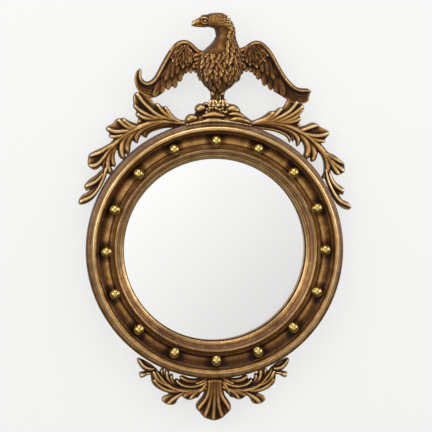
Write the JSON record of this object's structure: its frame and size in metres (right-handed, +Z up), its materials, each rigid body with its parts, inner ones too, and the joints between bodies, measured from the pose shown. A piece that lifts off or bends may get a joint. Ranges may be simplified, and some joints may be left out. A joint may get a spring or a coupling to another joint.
{
  "type": "girandole mirror",
  "caption": "Round gilt wall mirror with a convex glass, balls set in the cove of its frame, an eagle crest between leafy sprays and a leafy apron.",
  "frame": {"origin": "on the axis of the ring, in the plane of the wall that its back lies against", "axes": "+Z up, +X to the viewer's right, the front faces -Y and +Y points into the wall"},
  "size_m": [0.5086, 0.0589, 0.761],
  "materials": {
    "gilt_ring": "antique bronze-gold leaf over turned wood, rubbed on the crests, dark in the grooves",
    "gilt_slip": "antique bronze-gold leaf over reeded wood",
    "gilt_eagle": "antique bronze-gold over carved wood, feathers dark in the cuts",
    "gilt_rock": "antique bronze-gold over carved wood",
    "gilt_leaf": "antique bronze-gold over carved leafwork, bright ridges and dark hollows",
    "mirror_glass": "silvered convex glass",
    "card": "plain pressed card",
    "backboard": "plain brown hardboard",
    "brass_ball": "polished, lacquered",
    "brass_button": "plain stamped",
    "steel_screw": "zinc plated",
    "steel_strap": "zinc plated",
    "steel_wire": "zinc plated",
    "dowel": "plain beech"
  },
  "bodies": {
    "frame": {"apron_dowels": "dowel", "apron_shell": "gilt_leaf", "apron_spray_left": "gilt_leaf", "apron_spray_right": "gilt_leaf", "backboard": "backboard", "brass_balls": "brass_ball", "crest_spray_dowels": "dowel", "crest_spray_left": "gilt_leaf", "crest_spray_right": "gilt_leaf", "eagle_body": "gilt_eagle", "eagle_wing_left": "gilt_eagle", "eagle_wing_right": "gilt_eagle", "frame_ring": "gilt_ring", "glass_spacer": "card", "hanger_screws": "steel_screw", "hanger_strap_left": "steel_strap", "hanger_strap_right": "steel_strap", "inner_slip": "gilt_slip", "leg_dowels": "dowel", "mirror_glass": "mirror_glass", "plinth_dowels": "dowel", "rock_plinth": "gilt_rock", "wing_dowels": "dowel", "turn_button_screws": "steel_screw"},
    "button_1": {"turn_button_1": "brass_button"},
    "button_2": {"turn_button_2": "brass_button"},
    "button_3": {"turn_button_3": "brass_button"},
    "button_4": {"turn_button_4": "brass_button"},
    "d_ring_left": {"hanger_ring_left": "steel_wire"},
    "d_ring_right": {"hanger_ring_right": "steel_wire"}
  },
  "joints": [
    {"name": "button_turn_1", "type": "hinge", "parent": "frame", "child": "button_1", "pos_m": [0.1381, -0.008, 0.1381], "axis": [0, 1, 0], "range_deg": [0, 90]},
    {"name": "button_turn_2", "type": "hinge", "parent": "frame", "child": "button_2", "pos_m": [0.1381, -0.008, -0.1381], "axis": [0, 1, 0], "range_deg": [0, 90]},
    {"name": "button_turn_3", "type": "hinge", "parent": "frame", "child": "button_3", "pos_m": [-0.1381, -0.008, -0.1381], "axis": [0, 1, 0], "range_deg": [0, 90]},
    {"name": "button_turn_4", "type": "hinge", "parent": "frame", "child": "button_4", "pos_m": [-0.1381, -0.008, 0.1381], "axis": [0, 1, 0], "range_deg": [0, 90]},
    {"name": "ring_swing_left", "type": "hinge", "parent": "frame", "child": "d_ring_left", "pos_m": [-0.17814, -0.00615, 0.10131], "axis": [1, 0, 0], "range_deg": [0, 180]},
    {"name": "ring_swing_right", "type": "hinge", "parent": "frame", "child": "d_ring_right", "pos_m": [0.17814, -0.00615, 0.10131], "axis": [1, 0, 0], "range_deg": [0, 180]}
  ]
}
